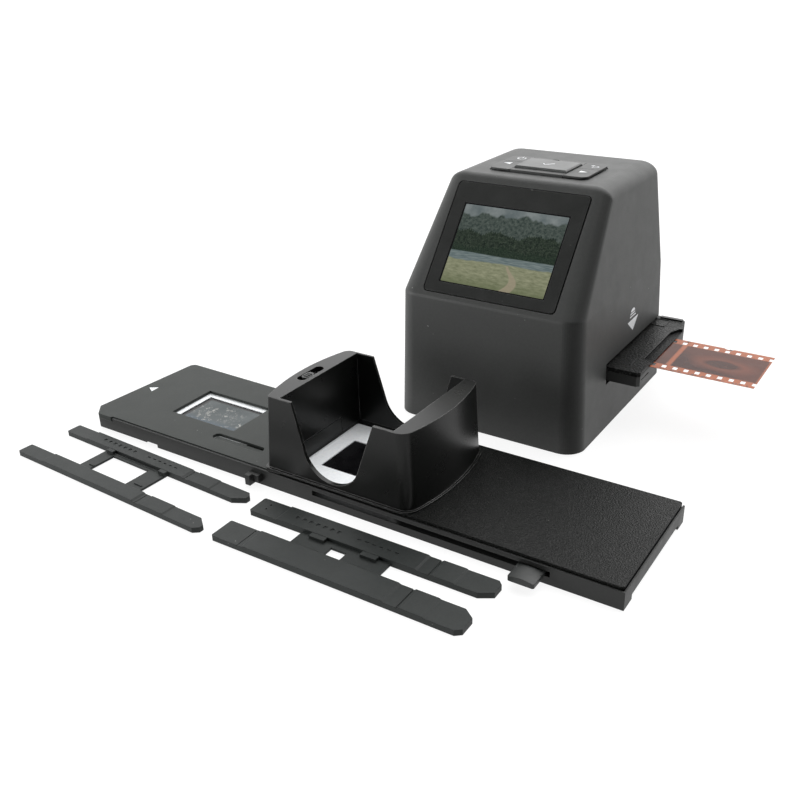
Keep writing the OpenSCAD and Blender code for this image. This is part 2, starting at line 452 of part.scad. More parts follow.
// ---------- film inserts ----------
module rail(x0, x1, ya, yb, t, cut_in) {
  // rail with its inner right corner cut off; cut_in is +1 when the inner side is +Y
  linear_extrude(height = t - 0.45) polygon(cut_in > 0
    ? [[x0, ya + 0.5], [x0 + 0.5, ya], [x1 - 2.2, ya], [x1, ya + 1.8], [x1, yb - 3], [x1 - 4, yb], [x0 + 0.5, yb], [x0, yb - 0.5]]
    : [[x0, ya + 0.5], [x0 + 0.5, ya], [x1 - 5, ya], [x1, ya + 3], [x1, yb - 1.6], [x1 - 1.6, yb], [x0 + 0.5, yb], [x0, yb - 0.5]]);
}
module raised(x0, x1, ya, yb, t) translate([0, yb, 0]) rotate([90, 0, 0]) linear_extrude(height = yb - ya) polygon([[x0, t - 0.6], [x1 + 1.2, t - 0.6], [x1 + 0.9, t - 0.45], [x1, t], [x0 + 0.5, t], [x0, t - 0.45]]);
module insert_wide() color(col_dark) translate([-107.6, -156.3, 0]) rotate([0, 0, insert_turn]) {
  difference() {
    union() {
      rail(-54.6, 54.6, -14.9, -8.1, rail_t, 1);
      rail(-51.6, 55.2, 8.1, 14.9, rail_t, -1);
      raised(-38.2, 18.4, -14.9, -8.1, rail_t); raised(-38.2, 22, 8.1, 14.9, rail_t);
      raised(22.8, 35.8, -14.9, -8.1, rail_t - 0.1); raised(25.6, 37.6, 8.1, 14.9, rail_t - 0.1);
      bx(-23.8, 13.9, -8.3, 8.3, 0.3, 1.25);
      for (x = [-20.4, 8]) bx(x, x + 4.4, -4.6, -4, 1.15, 1.6);
      for (x = [-22.2, 10.2]) bx(x, x + 3.8, 6.2, 8.6, 1.15, 2.6);
      bx(-18.2, 10.4, 6.9, 7.4, 1.15, 1.55);
    }
    bx(-17.4, 5, -6.6, 5.7, -1, 4);
    bx(20.4, 20.7, -16, -7, rail_t - 0.75, 4); bx(23.4, 23.7, 7, 16, rail_t - 0.75, 4);
    // moulded guide marks on the far rail
    for (x = [-30:3.2:-8]) bx(x, x + 1.3, 11.1, 12.5, rail_t - 0.3, 4);
    for (x = [-2:3.2:14]) bx(x, x + 1.6, 11.5, 12.1, rail_t - 0.3, 4);
  }
}
module insert_narrow() color(col_dark) translate([5.9, -157.8, 0]) rotate([0, 0, 0.4]) {
  difference() {
    union() {
      rail(-52.4, 52.2, -14.9, -3.7, rail_t, 1);
      rail(-51.3, 52.4, 5.2, 14.8, rail_t, -1);
      raised(-38, 22.4, -14.9, -3.7, rail_t); raised(-38.4, 23, 5.2, 14.8, rail_t);
      raised(28.8, 38.2, -14.9, -3.7, rail_t - 0.1); raised(28.8, 38.2, 5.2, 14.8, rail_t - 0.1);
      bx(-25.6, 13.2, -3.9, 5.4, 0.3, 1.25);
      for (x = [-22, 0.5]) bx(x, x + 9, -2.6, -2.1, 1.15, 1.6);
      for (x = [-21, 1.6]) bx(x, x + 6.8, 2.9, 5.6, 1.15, 2.5);
    }
    bx(-10.4, -3.6, -2.2, 2.3, -1, 4);
    bx(-39.9, -39.6, -16, -3, rail_t - 0.75, 4);
    bx(28.2, 28.7, -16, 16, rail_t - 0.85, 4);
    for (y = [9, 12]) cz(-46, y, rail_t - 0.9, 4, 0.4, 16);
    // moulded guide marks on the far rail
    for (x = [-32:3.2:-10]) bx(x, x + 1.3, 9.2, 10.6, rail_t - 0.3, 4);
    for (x = [-4:3.2:15]) bx(x, x + 1.6, 9.6, 10.2, rail_t - 0.3, 4);
  }
}

housing();
base_plate();
foot_pads();
base_screws();
bezel();
lcd_panel();
lcd_module();
lcd_retainer();
keypad_plate();
key_power();
key_left();
key_right();
key_back();
key_ok();
status_lens();
key_board();
key_switches();
main_board();
main_chips();
io_board();
usb_inlet();
video_jack();
card_socket();
memory_card();
board_screws();
gate_frame();
detent_plunger();
light_board();
light_leds();
light_box();
diffuser();
lens_barrel();
lens_glass();
sensor_bracket();
sensor_board();
sensor_chip();
holder_base();
holder_cover();
holder_latch();
film_strip();
feeder_base();
feeder_plate();
feeder_cover();
feeder_stop();
feeder_screws();
chute();
chute_gate();
chute_selector();
pusher();
slide_a_mount();
slide_a_film();
slide_b_mount();
slide_b_film();
insert_wide();
insert_narrow();
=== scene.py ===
import math
import bpy
import bmesh
from mathutils import Matrix, Vector


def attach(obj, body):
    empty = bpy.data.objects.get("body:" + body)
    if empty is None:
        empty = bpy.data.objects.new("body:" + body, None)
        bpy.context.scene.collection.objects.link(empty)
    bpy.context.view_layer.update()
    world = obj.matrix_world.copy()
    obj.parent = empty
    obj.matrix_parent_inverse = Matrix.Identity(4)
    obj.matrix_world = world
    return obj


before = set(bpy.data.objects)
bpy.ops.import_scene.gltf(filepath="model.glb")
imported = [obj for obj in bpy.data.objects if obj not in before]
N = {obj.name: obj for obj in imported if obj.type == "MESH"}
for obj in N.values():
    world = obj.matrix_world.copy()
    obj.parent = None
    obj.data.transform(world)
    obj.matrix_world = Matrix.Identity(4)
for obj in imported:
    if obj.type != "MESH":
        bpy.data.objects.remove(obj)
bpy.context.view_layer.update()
MM = 0.001

scene = bpy.context.scene
scene.view_settings.view_transform = "Standard"
scene.view_settings.look = "None"

# ------------------------------------------------------------------ camera
yaw, pitch, roll = (math.radians(v) for v in (33.84, 26.56, -1.73))
fwd = Vector((-math.sin(yaw) * math.cos(pitch), math.cos(yaw) * math.cos(pitch), -math.sin(pitch)))
right = Vector((math.cos(yaw), math.sin(yaw), 0))
up = right.cross(fwd)
r2 = math.cos(roll) * right + math.sin(roll) * up
u2 = -math.sin(roll) * right + math.cos(roll) * up
cam_data = bpy.data.cameras.new("camera")
cam_data.sensor_width = 36
cam_data.lens = 42.41
cam_data.clip_start = 0.01
cam = bpy.data.objects.new("camera", cam_data)
scene.collection.objects.link(cam)
cam.matrix_world = Matrix((
    (r2.x, u2.x, -fwd.x, 0.1727),
    (r2.y, u2.y, -fwd.y, -0.3727),
    (r2.z, u2.z, -fwd.z, 0.1991),
    (0, 0, 0, 1)))
scene.camera = cam

# ------------------------------------------------------------------ light
# a pale room that is brighter behind the object than in front of it
world = bpy.data.worlds.new("studio")
scene.world = world
world.use_nodes = True
wt = world.node_tree
bg = wt.nodes["Background"]
w_co = wt.nodes.new("ShaderNodeTexCoord")
w_dot = wt.nodes.new("ShaderNodeVectorMath")
w_dot.operation = "DOT_PRODUCT"
w_dot.inputs[1].default_value = (-0.30, 0.94, 0.12)
w_map = wt.nodes.new("ShaderNodeMapRange")
w_map.interpolation_type = "SMOOTHSTEP"
w_map.inputs["From Min"].default_value = -0.10
w_map.inputs["From Max"].default_value = 0.75
w_map.inputs["To Min"].default_value = 0.12
w_map.inputs["To Max"].default_value = 2.0
wt.links.new(w_co.outputs["Generated"], w_dot.inputs[0])
wt.links.new(w_dot.outputs["Value"], w_map.inputs["Value"])
wt.links.new(w_map.outputs["Result"], bg.inputs["Strength"])
bg.inputs["Color"].default_value = (1.0, 1.0, 1.0, 1)

sun_data = bpy.data.lights.new("overhead", "SUN")
sun_data.energy = 2.3
sun_data.angle = math.radians(75)
sun = bpy.data.objects.new("overhead", sun_data)
scene.collection.objects.link(sun)
sun.rotation_euler = (-Vector((0.08, 0.42, 0.90))).to_track_quat("-Z", "Y").to_euler()

# a low soft panel at the front left that opens up the front faces
fill_data = bpy.data.lights.new("fill", "AREA")
fill_data.shape = "RECTANGLE"
fill_data.size = 1.1
fill_data.size_y = 0.5
fill_data.energy = 13.0
fill = bpy.data.objects.new("fill", fill_data)
scene.collection.objects.link(fill)
fill.location = (-0.95, -0.85, 0.22)
fill.rotation_euler = (Vector((0, -0.05, 0.04)) - fill.location).to_track_quat("-Z", "Y").to_euler()
fill.visible_camera = False


# ------------------------------------------------------------------ materials
class Mat:
    """Short calls for one node material."""

    def __init__(self, name):
        self.m = bpy.data.materials.new(name)
        self.m.use_nodes = True
        self.t = self.m.node_tree
        self.b = self.t.nodes["Principled BSDF"]
        self.co = self.node("ShaderNodeTexCoord").outputs["Object"]

    def node(self, kind, **props):
        n = self.t.nodes.new(kind)
        for k, v in props.items():
            setattr(n, k, v)
        return n

    def link(self, a, b):
        self.t.links.new(a, b)

    def put(self, sock, v):
        if isinstance(v, bpy.types.NodeSocket):
            self.link(v, sock)
        elif isinstance(v, (tuple, list)) and len(v) == 3 and sock.type == "RGBA":
            sock.default_value = (*v, 1)
        else:
            sock.default_value = v

    def math(self, op, a, b=0.0, c=None, clamp=False):
        n = self.node("ShaderNodeMath", operation=op, use_clamp=clamp)
        self.put(n.inputs[0], a)
        self.put(n.inputs[1], b)
        if c is not None:
            self.put(n.inputs[2], c)
        return n.outputs[0]

    def vmath(self, op, a, b=None):
        n = self.node("ShaderNodeVectorMath", operation=op)
        self.put(n.inputs[0], a)
        if b is not None:
            self.put(n.inputs[1], b)
        return n.outputs["Value"] if op in ("DOT_PRODUCT", "LENGTH", "DISTANCE") else n.outputs[0]

    def noise(self, scale, detail=2.0, rough=0.5, vec=None, dim="3D", w=None):
        n = self.node("ShaderNodeTexNoise", noise_dimensions=dim)
        n.inputs["Scale"].default_value = scale
        n.inputs["Detail"].default_value = detail
        n.inputs["Roughness"].default_value = rough
        if dim != "1D":
            self.link(vec if vec is not None else self.co, n.inputs["Vector"])
        if w is not None:
            self.put(n.inputs["W"], w)
        return n.outputs["Fac"]

    def voronoi(self, scale, vec=None, feature="F1", out="Distance"):
        n = self.node("ShaderNodeTexVoronoi", feature=feature)
        n.inputs["Scale"].default_value = scale
        self.link(vec if vec is not None else self.co, n.inputs["Vector"])
        return n.outputs[out]

    def ramp(self, fac, a, b, lo=0.0, hi=1.0):
        n = self.node("ShaderNodeMapRange")
        self.put(n.inputs["Value"], fac)
        n.inputs["From Min"].default_value = a
        n.inputs["From Max"].default_value = b
        n.inputs["To Min"].default_value = lo
        n.inputs["To Max"].default_value = hi
        return n.outputs["Result"]

    def mix(self, fac, a, b, kind="MIX"):
        n = self.node("ShaderNodeMix", data_type="RGBA", blend_type=kind)
        self.put(n.inputs[0], fac)
        self.put(n.inputs[6], a)
        self.put(n.inputs[7], b)
        return n.outputs[2]

    def edge(self, radius_mm):
        """Rounded normal of the nearby edges, and a mask that is 1 on an edge."""
        bev = self.node("ShaderNodeBevel", samples=6)
        bev.inputs["Radius"].default_value = radius_mm * MM
        geo = self.node("ShaderNodeNewGeometry").outputs["True Normal"]
        d = self.vmath("DOT_PRODUCT", bev.outputs["Normal"], geo)
        return bev.outputs["Normal"], self.ramp(d, 0.985, 0.80)

    def bump(self, height, dist_mm, normal=None, strength=1.0):
        n = self.node("ShaderNodeBump")
        n.inputs["Strength"].default_value = strength
        n.inputs["Distance"].default_value = dist_mm * MM
        self.link(height, n.inputs["Height"])
        if normal is not None:
            self.link(normal, n.inputs["Normal"])
        return n.outputs["Normal"]


def srgb(h):
    v = [int(h[i:i + 2], 16) / 255 for i in (1, 3, 5)]
    return tuple(x / 12.92 if x <= 0.04045 else ((x + 0.055) / 1.055) ** 2.4 for x in v)


def plastic(name, colour, rough, grain=None, depth=0.02, var=0.10, rvar=0.05, spec=0.5, coat=0.0,
            bevel=0.3, edge_wear_and_light=0.25, edge_wear_and_light_colour=None, specks=0.0, painted_glints=None, painted_glint_cut=0.62, painted_recess_shade=None, corner=None, painted_glow=0.0):
    """Moulded plastic: colour drift, fine grain, uneven gloss, edges tinted by rubbed wear and a painted highlight, a
    little dust; optional painted glints, painted corner shade, painted recess shade and a painted glow.
    """
    m = Mat(name)
    drift = m.noise(38, 3, 0.55)
    fine = m.noise(900, 2, 0.6)
    c = m.mix(m.ramp(drift, 0.3, 0.7), tuple(x * (1 - var) for x in colour), tuple(min(1, x * (1 + var)) for x in colour))
    c = m.mix(m.ramp(fine, 0.35, 0.65, 0.0, 0.35), c, tuple(min(1, x * 1.25 + 0.002) for x in colour))
    nrm, mask = m.edge(bevel)
    # edge tint: partly rubbed wear, partly a painted highlight along edges and rims; on the white slide mounts it turns
    # the edges darker
    edge_wear_and_light_mask = m.math("MULTIPLY", mask, m.ramp(m.noise(260, 3, 0.6), 0.35, 0.7, 0.25, 1.0))
    edge_wear_and_light_tint = edge_wear_and_light_colour or tuple(min(1, x * 2.0 + 0.03) for x in colour)
    c = m.mix(m.math("MULTIPLY", edge_wear_and_light_mask, edge_wear_and_light), c, edge_wear_and_light_tint)
    r = m.ramp(m.noise(120, 3, 0.6), 0.3, 0.7, rough - rvar, rough + rvar)
    if specks:
        dots = m.voronoi(420)
        keep = m.ramp(m.noise(95, 1, 0.5), 0.66, 0.70)
        spot = m.math("MULTIPLY", m.ramp(dots, 0.13, 0.06), keep)
        c = m.mix(m.math("MULTIPLY", spot, specks), c, (0.55, 0.55, 0.52))
    r = m.math("SUBTRACT", r, m.math("MULTIPLY", edge_wear_and_light_mask, 0.06), clamp=True)
    if grain:
        g = m.noise(1000 / grain, 2.5, 0.65)
        if painted_glints:
            cells = m.voronoi(1000 / (grain * 1.2), out="Distance")
            g = m.math("ADD", g, m.math("MULTIPLY", cells, 0.8))
            # painted highlights: light specks mixed into the colour stand in for glints on the grain
            glint_spots = m.ramp(m.noise(1000 / (grain * 0.9), 0, 0.5), painted_glint_cut, painted_glint_cut + 0.09)
            c = m.mix(m.math("MULTIPLY", glint_spots, painted_glints), c, (0.32, 0.32, 0.31))
        m.link(m.bump(g, depth, nrm), m.b.inputs["Normal"])
    else:
        m.link(nrm, m.b.inputs["Normal"])
    if corner:
        # painted shade: colour and specular are darkened on faces turned towards the front right, the upright front
        # corners that lie in shade
        painted_shade_facing = m.vmath("DOT_PRODUCT", m.node("ShaderNodeNewGeometry").outputs["Normal"], (0.72, -0.69, 0.0))
        band = m.ramp(painted_shade_facing, 0.74, 0.99)
        c = m.mix(m.math("MULTIPLY", band, corner), c, (0.0, 0.0, 0.0))
        m.link(m.ramp(band, 0.0, 1.0, spec, spec * (1 - corner)), m.b.inputs["Specular IOR Level"])
    elif painted_recess_shade:
        # painted shade: near black colour and weak specular below the given height and beyond the given |x|, in the
        # holder's mouth where shade falls
        sep = m.node("ShaderNodeSeparateXYZ")
        m.link(m.co, sep.inputs[0])
        low = m.ramp(sep.outputs[2], (painted_recess_shade[1] + 0.02) * MM, (painted_recess_shade[1] - 0.02) * MM)
        out = m.ramp(m.math("ABSOLUTE", sep.outputs[0]), (painted_recess_shade[0] - 0.1) * MM, painted_recess_shade[0] * MM)
        hole = m.math("MULTIPLY", low, out)
        c = m.mix(m.math("MULTIPLY", hole, 0.9), c, (0.001, 0.001, 0.001))
        m.link(m.ramp(hole, 0.0, 1.0, spec, 0.06), m.b.inputs["Specular IOR Level"])
    else:
        m.b.inputs["Specular IOR Level"].default_value = spec
    m.link(c, m.b.inputs["Base Color"])
    m.link(r, m.b.inputs["Roughness"])
    if coat:
        m.b.inputs["Coat Weight"].default_value = coat
        m.b.inputs["Coat Roughness"].default_value = 0.25
    if painted_glow:
        # painted light: the surface emits its own colour to look brighter, though it is no lamp
        m.link(c, m.b.inputs["Emission Color"])
        m.b.inputs["Emission Strength"].default_value = painted_glow
    return m.m


def metal(name, colour, rough, brush=(1, 1, 30), depth=0.004):
    m = Mat(name)
    vm = m.node("ShaderNodeMapping")
    vm.inputs["Scale"].default_value = brush
    m.link(m.co, vm.inputs["Vector"])
    lines = m.noise(900, 3, 0.6, vec=vm.outputs[0])
    nrm, mask = m.edge(0.12)
    c = m.mix(m.ramp(lines, 0.3, 0.7), tuple(x * 0.85 for x in colour), tuple(min(1, x * 1.1) for x in colour))
    c = m.mix(m.math("MULTIPLY", mask, 0.4), c, tuple(min(1, x * 1.4) for x in colour))
    m.link(c, m.b.inputs["Base Color"])
    m.link(m.ramp(m.noise(300, 3, 0.6), 0.3, 0.7, rough - 0.07, rough + 0.08), m.b.inputs["Roughness"])
    m.b.inputs["Metallic"].default_value = 1.0
    m.link(m.bump(lines, depth, nrm), m.b.inputs["Normal"])
    return m.m


# the shell carries painted shade on its front right corner faces (corner=0.5)
SHELL = plastic("shell_plastic", srgb("#363736"), 0.52, grain=0.30, depth=0.012, var=0.03, rvar=0.03, edge_wear_and_light=0.10, bevel=0.5, specks=0.35, spec=0.34, corner=0.5)
SHELL_TOP = plastic("key_plastic", srgb("#323332"), 0.50, grain=0.30, depth=0.010, var=0.03, rvar=0.03, edge_wear_and_light=0.20, bevel=0.35, spec=0.42)
OK_TOP = plastic("ok_plastic", srgb("#3a3c3b"), 0.42, grain=0.30, depth=0.008, var=0.03, rvar=0.03, edge_wear_and_light=0.30, bevel=0.35, spec=0.52)
BEZEL = plastic("bezel_plastic", srgb("#242524"), 0.34, grain=0.25, depth=0.004, var=0.04, edge_wear_and_light=0.12, bevel=0.15, specks=0.3, spec=0.38)
# holder cover: painted shade darkens its mouth, and its light grain specks are painted glints
HOLDER = plastic("holder_grain", srgb("#0b0c0b"), 0.36, grain=0.75, depth=0.24, var=0.12, edge_wear_and_light=0.25, bevel=0.3, painted_glints=0.08, painted_glint_cut=0.62, spec=0.08, painted_recess_shade=(53.8, 28.6))
HOLDER_IN = plastic("holder_smooth", srgb("#191a19"), 0.45, grain=0.35, depth=0.015, edge_wear_and_light=0.35, bevel=0.3, spec=0.34)
# cover: its light grain specks are painted glints
COVER = plastic("cover_grain", srgb("#0e0f0e"), 0.32, grain=0.55, depth=0.19, var=0.06, rvar=0.03, edge_wear_and_light=0.30, bevel=0.35, painted_glints=0.05, painted_glint_cut=0.60, specks=0.25, spec=0.11)
PLATE = plastic("plate_grey", srgb("#2c2f2d"), 0.52, grain=0.28, depth=0.010, var=0.03, rvar=0.02, edge_wear_and_light=0.45, bevel=0.35, specks=0.35, spec=0.15)
TRAY = plastic("tray_black", srgb("#161716"), 0.48, grain=0.35, depth=0.015, edge_wear_and_light=0.30, bevel=0.3, spec=0.34)
# chute: the light edge tint is mostly a painted highlight along the rims and the base flange
CHUTE = plastic("chute_satin", srgb("#0c0d0c"), 0.28, grain=0.25, depth=0.001, var=0.02, rvar=0.008, edge_wear_and_light=0.95, bevel=0.38, edge_wear_and_light_colour=(0.26, 0.26, 0.255), specks=0.08, spec=0.25)
GATE = plastic("gate_satin", srgb("#121312"), 0.36, grain=0.30, depth=0.006, edge_wear_and_light=0.1, bevel=0.15, spec=0.30)
SLIDER = plastic("slider_dark", srgb("#212322"), 0.42, grain=0.25, depth=0.008, edge_wear_and_light=0.5, bevel=0.25, spec=0.36)
INSERT = plastic("insert_dark", srgb("#232625"), 0.52, grain=0.32, depth=0.014, var=0.06, rvar=0.03, edge_wear_and_light=0.10, bevel=0.25, specks=0.25, spec=0.20)
INNER = plastic("inner_black", srgb("#1d1d1d"), 0.55, grain=0.4, depth=0.02)
RUBBER = plastic("foot_rubber", srgb("#1a1a1a"), 0.75, grain=0.5, depth=0.03, spec=0.3)
BOARD = plastic("board_green", srgb("#0f4a2c"), 0.35, grain=0.5, depth=0.01, bevel=0.1)
CHIP = plastic("chip_black", srgb("#1a1a1c"), 0.5, grain=0.2, depth=0.01, bevel=0.12)
# slide mounts: a painted glow lifts the white, and the edge tint darkens their edges
SLIDE = plastic("slide_mount", srgb("#e6e9eb"), 0.42, grain=0.35, depth=0.008, var=0.02, rvar=0.04, edge_wear_and_light=0.85, bevel=0.35, edge_wear_and_light_colour=(0.24, 0.25, 0.26), painted_glow=0.14)
DIFFUSER = plastic("diffuser_white", srgb("#e8ebee"), 0.4, grain=0.4, depth=0.006, var=0.02, bevel=0.2)
CARD = plastic("card_blue", srgb("#1c2a4a"), 0.42, grain=0.3, depth=0.006, bevel=0.2)
STEEL = metal("screw_steel", (0.56, 0.56, 0.57), 0.32)
TIN = metal("tin_plate", (0.60, 0.61, 0.62), 0.30, brush=(30, 1, 1))


def print_ink(name, colour):
    """Screen printing: slightly broken edge colour, thin and matte."""
    m = Mat(name)
    c = m.mix(m.ramp(m.noise(1500, 3, 0.7), 0.3, 0.75), colour, tuple(x * 0.78 for x in colour))
    m.link(c, m.b.inputs["Base Color"])
    m.link(m.ramp(m.noise(700, 2, 0.5), 0.3, 0.7, 0.45, 0.6), m.b.inputs["Roughness"])
    m.link(m.bump(m.noise(2500, 2, 0.5), 0.004), m.b.inputs["Normal"])
    return m.m


INK = print_ink("ink_white", (0.80, 0.82, 0.84))


def glass_mat(name, tint, rough):
    m = Mat(name)
    c = m.mix(m.ramp(m.noise(60, 3, 0.5), 0.3, 0.7), tint, tuple(x * 0.92 for x in tint))
    m.link(c, m.b.inputs["Base Color"])
    m.link(m.ramp(m.noise(400, 3, 0.6), 0.3, 0.7, max(0.0, rough - 0.02), rough + 0.03), m.b.inputs["Roughness"])
    m.b.inputs["Transmission Weight"].default_value = 1.0
    m.b.inputs["IOR"].default_value = 1.5
    m.link(m.bump(m.noise(80, 2, 0.5), 0.004), m.b.inputs["Normal"])
    return m.m


OPTIC = glass_mat("coated_glass", (0.82, 0.88, 0.95), 0.02)


def led_mat():
    m = Mat("led_lens")
    c = m.mix(m.ramp(m.voronoi(900), 0.1, 0.5), (0.95, 0.85, 0.35), (0.9, 0.88, 0.75))
    m.link(c, m.b.inputs["Base Color"])
    m.link(m.ramp(m.noise(800, 2, 0.5), 0.3, 0.7, 0.18, 0.3), m.b.inputs["Roughness"])
    m.b.inputs["Coat Weight"].default_value = 0.6
    return m.m


LED = led_mat()


# negative film: orange base, darker picture fields, marks along the edges
def film_mat():
    m = Mat("negative_film")
    sep = m.node("ShaderNodeSeparateXYZ")
    m.link(m.co, sep.inputs[0])
    x, y = sep.outputs[0], sep.outputs[1]
    # picture fields repeat every 38 mm; a frame line at x = 63.6 mm
    u = m.math("FRACT", m.math("DIVIDE", m.math("SUBTRACT", x, 0.0636 - 0.38), 0.038))
    du = m.math("MULTIPLY", m.math("SUBTRACT", u, 0.5), 0.038)
    dv = m.math("SUBTRACT", y, 0.0102)
    soft = 0.0004
    inx = m.ramp(m.math("ABSOLUTE", du), 0.018 + soft, 0.018 - soft)
    iny = m.ramp(m.math("ABSOLUTE", dv), 0.0122 + soft, 0.0122 - soft)
    field = m.math("MULTIPLY", inx, iny)
    # inside the field: two broad tones, a soft round form and a slanted band
    wob = m.noise(70, 4, 0.6)
    cx = m.math("MULTIPLY", m.math("SUBTRACT", du, 0.001), 75.0)
    cy = m.math("MULTIPLY", m.math("ADD", dv, 0.001), 150.0)
    rad = m.math("SQRT", m.math("ADD", m.math("MULTIPLY", cx, cx), m.math("MULTIPLY", cy, cy)))
    oval = m.ramp(m.math("ADD", rad, m.math("MULTIPLY", wob, 0.5)), 0.95, 0.70)
    halo = m.ramp(m.math("ADD", rad, m.math("MULTIPLY", wob, 0.8)), 1.7, 1.0)
    slope = m.math("ADD", m.math("MULTIPLY", du, 60.0), m.math("MULTIPLY", dv, 95.0))
    band = m.ramp(m.math("ADD", slope, wob), -0.35, 0.15)
    dark = (0.062, 0.024, 0.019)
    mid = (0.190, 0.062, 0.038)
    pic = m.mix(m.math("MULTIPLY", band, 0.35), dark, mid)
    pic = m.mix(m.math("MULTIPLY", halo, 0.95), pic, mid)
    pic = m.mix(m.math("MULTIPLY", oval, 0.85), pic, (0.040, 0.017, 0.014))
    pic = m.mix(m.ramp(m.noise(220, 4, 0.65), 0.45, 0.7, 0.0, 0.30), pic, (0.13, 0.065, 0.05))
    base = m.mix(m.ramp(m.noise(45, 3, 0.5), 0.3, 0.7), (0.46, 0.150, 0.075), (0.39, 0.13, 0.065))
    c = m.mix(field, base, pic)
    m.link(c, m.b.inputs["Base Color"])
    m.link(m.ramp(m.noise(260, 3, 0.6), 0.3, 0.7, 0.14, 0.26), m.b.inputs["Roughness"])
    m.b.inputs["Transmission Weight"].default_value = 0.22
    m.b.inputs["IOR"].default_value = 1.22
    m.b.inputs["Specular IOR Level"].default_value = 0.30
    m.link(m.bump(m.noise(60, 2, 0.5), 0.02), m.b.inputs["Normal"])
    return m.m


FILM = film_mat()


def slide_film_mat(name, pictured, cx0):
    m = Mat(name)
    sep = m.node("ShaderNodeSeparateXYZ")
    m.link(m.co, sep.inputs[0])
    x = m.math("SUBTRACT", sep.outputs[0], cx0)
    y = m.math("SUBTRACT", sep.outputs[1], -0.1052)
    black = (0.003, 0.003, 0.0035)
    if pictured:
        blot = m.noise(330, 6, 0.85)
        lit = m.ramp(blot, 0.545, 0.60)
        cloud = m.ramp(m.noise(90, 2, 0.5), 0.40, 0.62)
        fieldx = m.ramp(m.math("ABSOLUTE", x), 0.0152, 0.0148)
        fieldy = m.ramp(m.math("ABSOLUTE", y), 0.0103, 0.0099)
        f = m.math("MULTIPLY", fieldx, fieldy)
        body = m.mix(m.ramp(m.noise(60, 3, 0.6), 0.35, 0.65), (0.020, 0.030, 0.032), (0.060, 0.072, 0.074))
        body = m.mix(m.ramp(y, -0.004, -0.0095, 0.0, 0.8), body, (0.030, 0.060, 0.095))
        body = m.mix(m.math("MULTIPLY", lit, m.math("MULTIPLY", cloud, 0.85)), body, (0.42, 0.41, 0.38))
        c = m.mix(f, black, body)
    else:
        c = m.mix(m.ramp(m.noise(80, 3, 0.5), 0.3, 0.7), black, (0.012, 0.012, 0.013))
    m.link(c, m.b.inputs["Base Color"])
    m.link(m.ramp(m.noise(300, 3, 0.6), 0.3, 0.7, 0.10, 0.20), m.b.inputs["Roughness"])
    m.b.inputs["Specular IOR Level"].default_value = 0.18 if pictured else 0.05
    m.link(m.bump(m.noise(50, 2, 0.5), 0.06), m.b.inputs["Normal"])
    return m.m


SLIDE_A = slide_film_mat("slide_picture", True, -0.1036)
SLIDE_B = slide_film_mat("slide_dark", False, -0.021)


def lcd_glass():
    m = Mat("lcd_border")
    c = m.mix(m.ramp(m.noise(200, 2, 0.5), 0.3, 0.7), (0.004, 0.004, 0.005), (0.008, 0.008, 0.009))
    m.link(c, m.b.inputs["Base Color"])
    m.link(m.ramp(m.noise(300, 2, 0.5), 0.3, 0.7, 0.08, 0.16), m.b.inputs["Roughness"])
    return m.m


